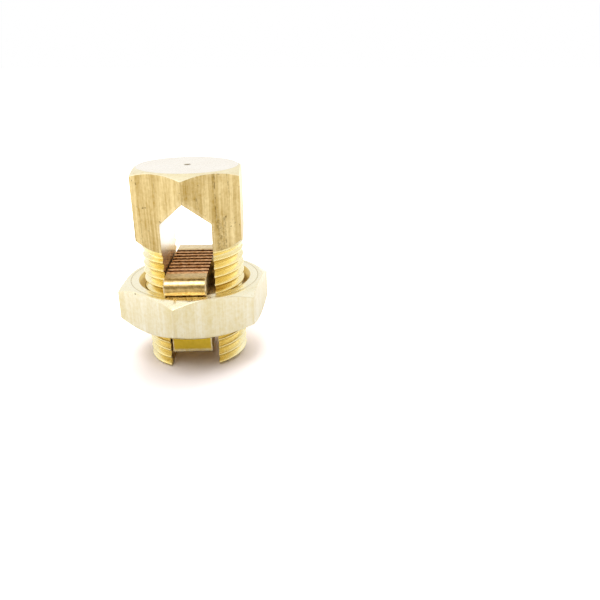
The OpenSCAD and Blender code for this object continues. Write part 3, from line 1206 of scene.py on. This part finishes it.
@dataclass(frozen=True)
class Finish:
    """One worked metal surface.

    Its colour runs from deep to pale with a share that starts at a half and is moved up and down by
    each effect, times the strength that stands here.

    Attributes:
        pale: colour of the bright parts.
        deep: colour of the dark parts.
        roughness: the shader's roughness where the surface is plain.
        slow: strength of slow changes over a few millimetres.
        mottle: strength of the fine mottling.
        streaks: strength of the draw marks along Z.
        rings: strength of the turning marks about Z.
        face: strength of the painted light and shade in the tone mark: from one flat to the next, beside
        the slot, up the slot's walls, and on the bar's glints and far end.
        pits: how many small pits there are, 0 for none.
        bump: height of the relief, in millimetres.
        wear_and_highlight: how strongly the marked edges take the edge colour, which is rubbed metal on the
            bolt, a darker line on the nut and painted highlights on the bar.
        edge: colour of the marked edges, and on the bar of its painted highlights.
        groove: colour of the painted shade down in the grooves.
        groove_shade: how strongly the grooves take that painted shade.
        groove_shade_from: the share of a groove's depth at which that begins.
        groove_shade_full: the share of a groove's depth from which they take it in full.
        glare: tint of what the metal mirrors at a grazing angle.
        scar: strength of the one long scratch down the front.
    """

    pale: Colour
    deep: Colour
    roughness: float
    slow: float = 0.3
    mottle: float = 0.3
    streaks: float = 0.0
    rings: float = 0.0
    face: float = 0.0
    pits: float = 0.0
    bump: float = 0.01
    wear_and_highlight: float = 0.3
    edge: Colour = (1.0, 0.92, 0.70)
    groove: Colour = (0.2, 0.1, 0.03)
    groove_shade: float = 0.0
    groove_shade_from: float = 0.05
    groove_shade_full: float = 0.8
    glare: Colour = (1.0, 1.0, 1.0)
    scar: float = 0.0

    def tone(self, graph: Graph, parts: dict[str, bpy.types.NodeSocket]) -> bpy.types.NodeSocket:
        """The share between deep and pale: 0.5 + sum of strength * (effect - 0.5).

        Args:
            graph: the material's nodes.
            parts: the effects' outputs.

        Returns:
            The share, 0 to 1.
        """
        strengths = {
            "slow": self.slow,
            "mottle": self.mottle,
            "broad": self.streaks,
            "fine": self.streaks * 0.6,
            "rings": self.rings,
            "face": self.face,
        }
        used = {name: strength for name, strength in strengths.items() if strength > 0}
        total: object = 0.5 - sum(used.values()) / 2
        for name, strength in used.items():
            total = graph.math("ADD", total, graph.product(parts[name], strength))
        return graph.ramp(total, 0.0, 1.0)

    def material(self, name: str, effects: Effects) -> bpy.types.Material:
        """Builds the material.

        Args:
            name: the material's name.
            effects: the shared node groups.

        Returns:
            The material, on Object coordinates.
        """
        made = bpy.data.materials.new(name)
        made.use_nodes = True
        graph = Graph(made.node_tree)
        place = graph.node("ShaderNodeTexCoord").outputs["Object"]
        groups = {}
        for label in ("blotches", "streaks", "rings", "pits"):
            groups[label] = graph.node("ShaderNodeGroup", node_tree=getattr(effects, label))
            made.node_tree.links.new(place, groups[label].inputs["Vector"])
        marks = {
            label: graph.node("ShaderNodeAttribute", attribute_name=label).outputs["Fac"]
            for label in ("edge", "depth", "tone")
        }
        parts = {
            "slow": groups["blotches"].outputs["Slow"],
            "mottle": groups["blotches"].outputs["Mottle"],
            "broad": groups["streaks"].outputs["Broad"],
            "fine": groups["streaks"].outputs["Fine"],
            "rings": groups["rings"].outputs["Rings"],
            # The tone mark: painted reflection, shade, sheen and glints.
            "face": marks["tone"],
        }
        colour = graph.mix(self.tone(graph, parts), (*self.deep, 1), (*self.pale, 1))
        patchy = graph.ramp(parts["mottle"], 0.2, 0.8, 0.5, 1.0)
        # Edge colour: rubbed edges on the bolt, a darker line on the nut, painted highlights on the bar.
        worn_and_lit = graph.product(graph.ramp(marks["edge"], 0.5, 1.0), self.wear_and_highlight, patchy)
        colour = graph.mix(worn_and_lit, colour, (*self.edge, 1))
        # Painted shade down in the grooves, led by the depth mark.
        if self.groove_shade > 0:
            sunk = graph.product(graph.ramp(marks["depth"], self.groove_shade_from, self.groove_shade_full), self.groove_shade)
            colour = graph.mix(sunk, colour, (*self.groove, 1))
        rough = graph.ramp(parts["mottle"], 0, 1, self.roughness * 0.85, self.roughness * 1.2)
        relief = graph.product(parts["fine"], self.streaks)
        relief = graph.math("ADD", relief, graph.product(parts["rings"], self.rings))
        relief = graph.math("ADD", relief, graph.product(parts["mottle"], self.mottle))
        if self.pits > 0:
            groups["pits"].inputs["Amount"].default_value = self.pits
            scratches = graph.product(groups["streaks"].outputs["Scratches"], self.pits)
            holes = graph.math("MAXIMUM", groups["pits"].outputs["Pits"], scratches)
            if self.scar > 0:
                scar = graph.node("ShaderNodeGroup", {"Vector": place}, node_tree=effects.scar)
                holes = graph.math("MAXIMUM", holes, graph.product(scar.outputs["Scar"], self.scar))
            dark = tuple(channel * 0.35 for channel in self.deep)
            colour = graph.mix(graph.product(holes, 0.75), colour, (*dark, 1))
            relief = graph.math("SUBTRACT", relief, holes)
        bump = graph.node("ShaderNodeBump", {"Strength": 1.0, "Distance": self.bump * MM, "Height": relief})
        inputs = {"Base Color": colour, "Metallic": 1.0, "Roughness": rough, "Normal": bump.outputs[0]}
        shader = graph.node("ShaderNodeBsdfPrincipled", inputs)
        shader.inputs["Specular Tint"].default_value = (*self.glare, 1)
        graph.node("ShaderNodeOutputMaterial", {"Surface": shader.outputs[0]})
        return made


FINISHES: dict[Zone, Finish] = {
    # Each flat of the head drawn lighter or darker by the tone mark: painted reflection and shade.
    Zone.DRAWN: Finish(
        (0.80, 0.645, 0.33), (0.39, 0.255, 0.065), 0.36, streaks=0.65, face=0.35, mottle=0.4,
        pits=0.7, bump=0.02, scar=1.0, edge=(0.94, 0.80, 0.50),
    ),
    # The crown's dimple takes a dark colour: partly the scuff mark's own, partly painted shade in the dent.
    Zone.CROWN: Finish(
        (1.0, 0.96, 0.89), (0.90, 0.82, 0.68), 0.28, rings=0.3, mottle=0.2, bump=0.006,
        groove=(0.20, 0.14, 0.05), groove_shade=0.9, groove_shade_full=0.4,
    ),
    Zone.TURNED: Finish((0.98, 0.91, 0.68), (0.82, 0.69, 0.38), 0.30, rings=0.5, bump=0.01),
    # Painted shade in thin lines at the thread's roots, and painted shade and reflection beside the slot.
    Zone.THREAD: Finish(
        (1.0, 0.91, 0.58), (0.79, 0.58, 0.12), 0.24, rings=0.3, mottle=0.3, face=0.6, bump=0.006,
        groove=(0.58, 0.38, 0.06), groove_shade=0.9, groove_shade_from=0.85, groove_shade_full=0.99,
    ),
    # Painted shade at the roots of the nut's thread.
    Zone.BORE: Finish(
        (0.94, 0.76, 0.32), (0.72, 0.52, 0.14), 0.36, rings=0.4, bump=0.006,
        groove=(0.4, 0.22, 0.05), groove_shade=0.9,
    ),
    # The slot's walls are painted from shade low down to sheen near the roof.
    Zone.MILLED: Finish((1.0, 0.955, 0.86), (0.84, 0.62, 0.30), 0.30, rings=0.15, face=1.0, bump=0.005),
    # Each flat of the nut drawn lighter or darker by the tone mark, a painted reflection and shade; its
    # corners and edges are drawn as a darker line.
    Zone.NUT_SIDE: Finish(
        (0.98, 0.94, 0.80), (0.76, 0.63, 0.28), 0.38, streaks=0.3, face=0.35, mottle=0.4,
        pits=0.03, bump=0.012, wear_and_highlight=0.5, edge=(0.78, 0.66, 0.40),
    ),
    # Painted shade in the fine ring on the upper face; the edges are drawn as a darker line.
    Zone.NUT_FACE: Finish(
        (0.99, 0.94, 0.75), (0.86, 0.77, 0.50), 0.28, rings=0.5, mottle=0.2, bump=0.008,
        wear_and_highlight=0.6, edge=(0.72, 0.60, 0.34), groove=(0.58, 0.48, 0.25), groove_shade=0.7, groove_shade_full=0.5,
    ),
    # Painted highlight bands on the noses, and a painted reflection on the far nose and land.
    Zone.BAR_NOSE: Finish(
        (0.78, 0.57, 0.25), (0.39, 0.25, 0.07), 0.30, mottle=0.8, face=0.7, bump=0.014, wear_and_highlight=0.35
    ),
    # Near-black painted shade in the grooves, and painted glints on the front teeth.
    Zone.BAR_TEETH: Finish(
        (1.0, 0.68, 0.42), (0.36, 0.14, 0.04), 0.40, mottle=1.1, face=0.5, bump=0.03, glare=(1.0, 0.72, 0.45),
        groove=(0.045, 0.010, 0.002), groove_shade=1.0, groove_shade_from=0.02, groove_shade_full=0.12,
    ),
    # A painted highlight line along the tail's lower corners and side edges.
    Zone.BAR_TAIL: Finish((0.88, 0.62, 0.07), (0.64, 0.42, 0.025), 0.32, mottle=0.4, bump=0.012, wear_and_highlight=0.95),
}


def dress(piece: bpy.types.Object, zones: Sequence[Zone], effects: Effects) -> None:
    """Fills a piece's material slots, one for each of its zones, making each finish once."""
    for zone in zones:
        name = f"{zone.value}_metal"
        made = bpy.data.materials.get(name) or FINISHES[zone].material(name, effects)
        piece.data.materials.append(made)


# ---------------------------------------------------------------------------------------------------
# Studio
# ---------------------------------------------------------------------------------------------------


@dataclass
class Studio:
    """A floor that turns plain white, three soft boxes, a card that the metal mirrors, and the camera.

    Where a field holds a pair, the first is for the camera's own rays and the second for all others.

    Attributes:
        camera_place: the camera's place, in metres.
        camera_turn: its rotation about X, Y and Z, in degrees.
        lens: its focal length, in millimetres.
        world_light: strength of the light from all round.
        floor_gain: how much brighter the floor's colour is to the camera.
        floor_colour: the floor's colour, before that gain.
        mirrored_colour: the floor's colour in reflections and as a source of light.
        glow_from: distance from the axis at which the floor begins to turn white, in metres.
        glow_full: distance at which it is plain white.
        card_colour: colour of the card.
        aim: the point that the soft boxes face, in metres.
    """

    camera_place: tuple[float, float, float] = (0.014968, -0.109535, 0.055278)
    camera_turn: tuple[float, float, float] = (67.557, 0.0, -2.899)
    lens: float = 35.368
    world_light: float = 0.15
    floor_gain: float = 1.55
    floor_colour: Colour = (0.93, 0.86, 0.86)
    mirrored_colour: Colour = (0.97, 0.95, 0.92)
    glow_from: tuple[float, float] = (0.0115, 0.03)
    glow_full: tuple[float, float] = (0.034, 0.19)
    card_colour: Colour = (0.60, 0.56, 0.50)
    aim: tuple[float, float, float] = (0.0, 0.0, 0.018)

    def camera(self) -> None:
        """Sets the camera, which looks down on the connector from its front."""
        data = bpy.data.cameras.new("camera")
        data.lens = self.lens
        data.clip_start = 0.005
        camera = bpy.data.objects.new("camera", data)
        camera.location = self.camera_place
        camera.rotation_euler = Euler([math.radians(angle) for angle in self.camera_turn])
        bpy.context.scene.collection.objects.link(camera)
        bpy.context.scene.camera = camera

    def floor(self) -> None:
        """Lays a matt floor that takes the connector's shadow and turns plain white further out."""
        reach = 3.0
        corners = [(-reach, -reach, 0), (reach, -reach, 0), (reach, reach, 0), (-reach, reach, 0)]
        mesh = bpy.data.meshes.new("floor")
        mesh.from_pydata(corners, [], [(0, 1, 2, 3)])
        floor = bpy.data.objects.new("floor", mesh)
        bpy.context.scene.collection.objects.link(floor)
        material = bpy.data.materials.new("white_floor")
        material.use_nodes = True
        graph = Graph(material.node_tree)
        place = graph.node("ShaderNodeTexCoord").outputs["Object"]
        away = graph.node("ShaderNodeVectorMath", {0: place}, operation="LENGTH").outputs["Value"]
        seen = graph.node("ShaderNodeLightPath").outputs["Is Camera Ray"]
        pairs = (self.glow_from, self.glow_full)
        near, far = (graph.ramp(seen, 0.0, 1.0, others, own) for own, others in pairs)
        glow = graph.product(graph.ramp(away, near, far), self.white_rays(graph))
        shown = tuple(channel * self.floor_gain for channel in self.floor_colour)
        colour = graph.mix(seen, (*self.mirrored_colour, 1), (*shown, 1))
        matt = graph.node("ShaderNodeBsdfDiffuse", {"Color": colour})
        light = graph.node("ShaderNodeEmission", {"Color": (1, 1, 1, 1), "Strength": glow})
        both = graph.node("ShaderNodeAddShader", {0: matt.outputs[0], 1: light.outputs[0]})
        graph.node("ShaderNodeOutputMaterial", {"Surface": both.outputs[0]})
        mesh.materials.append(material)

    @staticmethod
    def white_rays(graph: Graph) -> bpy.types.NodeSocket:
        """1 for camera, glossy and transmission rays, which see the plain white background.

        A ray that has left a matt surface on its way counts 0.3, so that the shadow stays dark.
        """
        path = graph.node("ShaderNodeLightPath")
        seen = graph.math("MAXIMUM", path.outputs["Is Camera Ray"], path.outputs["Is Glossy Ray"])
        seen = graph.math("MAXIMUM", seen, path.outputs["Is Transmission Ray"])
        return graph.product(seen, graph.ramp(path.outputs["Diffuse Depth"], 0.0, 1.0, 1.0, 0.3))

    def world(self) -> None:
        """Lights from all round, and shows white to the camera and in reflections."""
        world = bpy.data.worlds.new("white_room")
        world.use_nodes = True
        graph = Graph(world.node_tree)
        strength = graph.ramp(self.white_rays(graph), 0, 1, self.world_light, 1.0)
        background = graph.node("ShaderNodeBackground", {"Color": (1, 1, 1, 1), "Strength": strength})
        graph.node("ShaderNodeOutputWorld", {"Surface": background.outputs[0]})
        bpy.context.scene.world = world

    def lamp(
        self, name: str, place: Sequence[float], wide: float, tall: float, power: float, mirrored: bool = True
    ) -> None:
        """Adds a soft box that faces the connector.

        Args:
            name: the lamp's name.
            place: its middle, in metres.
            wide: its width, in metres.
            tall: its height, in metres.
            power: its power, in watts.
            mirrored: whether it shows in the metal.
        """
        data = bpy.data.lights.new(name, "AREA")
        data.shape = "RECTANGLE"
        data.size, data.size_y = wide, tall
        data.energy = power
        lamp = bpy.data.objects.new(name, data)
        lamp.location = place
        lamp.rotation_euler = (Vector(self.aim) - Vector(place)).to_track_quat("-Z", "Y").to_euler()
        lamp.visible_glossy = mirrored
        bpy.context.scene.collection.objects.link(lamp)

    def card(self) -> None:
        """Stands a card low behind the camera, unseen by it, darker than the room that the metal mirrors."""
        away, reach, rise = -0.50, 0.60, 0.34
        corners = [(-reach, away, 0), (reach, away, 0), (reach, away, rise), (-reach, away, rise)]
        mesh = bpy.data.meshes.new("dark_card")
        mesh.from_pydata(corners, [], [(0, 1, 2, 3)])
        card = bpy.data.objects.new("dark_card", mesh)
        card.visible_camera = False
        bpy.context.scene.collection.objects.link(card)
        material = bpy.data.materials.new("dark_card")
        material.use_nodes = True
        graph = Graph(material.node_tree)
        inputs = {"Base Color": (*self.card_colour, 1), "Roughness": 0.9}
        shader = graph.node("ShaderNodeBsdfPrincipled", inputs)
        graph.node("ShaderNodeOutputMaterial", {"Surface": shader.outputs[0]})
        mesh.materials.append(material)

    def build(self) -> None:
        """Sets up the whole studio."""
        self.camera()
        self.floor()
        self.card()
        self.world()
        self.lamp("back_box", (0.08, 0.30, 0.36), 0.60, 0.50, 2.1, mirrored=False)
        self.lamp("front_box", (-0.08, -0.20, 0.44), 0.30, 0.28, 0.90)
        self.lamp("left_box", (-0.42, 0.05, 0.22), 0.25, 0.25, 0.15)
        bpy.context.scene.view_settings.view_transform = "Standard"


def corners_mm(node: str) -> tuple[Vector, Vector]:
    """The lowest and highest corner of a CAD node, in millimetres."""
    low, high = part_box(node)
    return low / MM, high / MM


def main() -> None:
    """Builds the connector and its studio."""
    logging.basicConfig(level=logging.INFO, format="%(name)s: %(message)s")
    Studio().build()
    effects = Effects()
    bolt_low, bolt_high = corners_mm("split_bolt")
    nut_low, nut_high = corners_mm("clamp_nut")
    bolt = SplitBolt(height=bolt_high.z, head_af=bolt_high.x - bolt_low.x)
    dress(bolt.build(), bolt.zones, effects)
    nut = ClampNut(low_z=nut_low.z, high_z=nut_high.z)
    dress(nut.build(), nut.zones, effects)
    bar = PressureBar(*corners_mm("pressure_bar"))
    dress(bar.build(), bar.zones, effects)


if __name__ == "__main__":
    main()
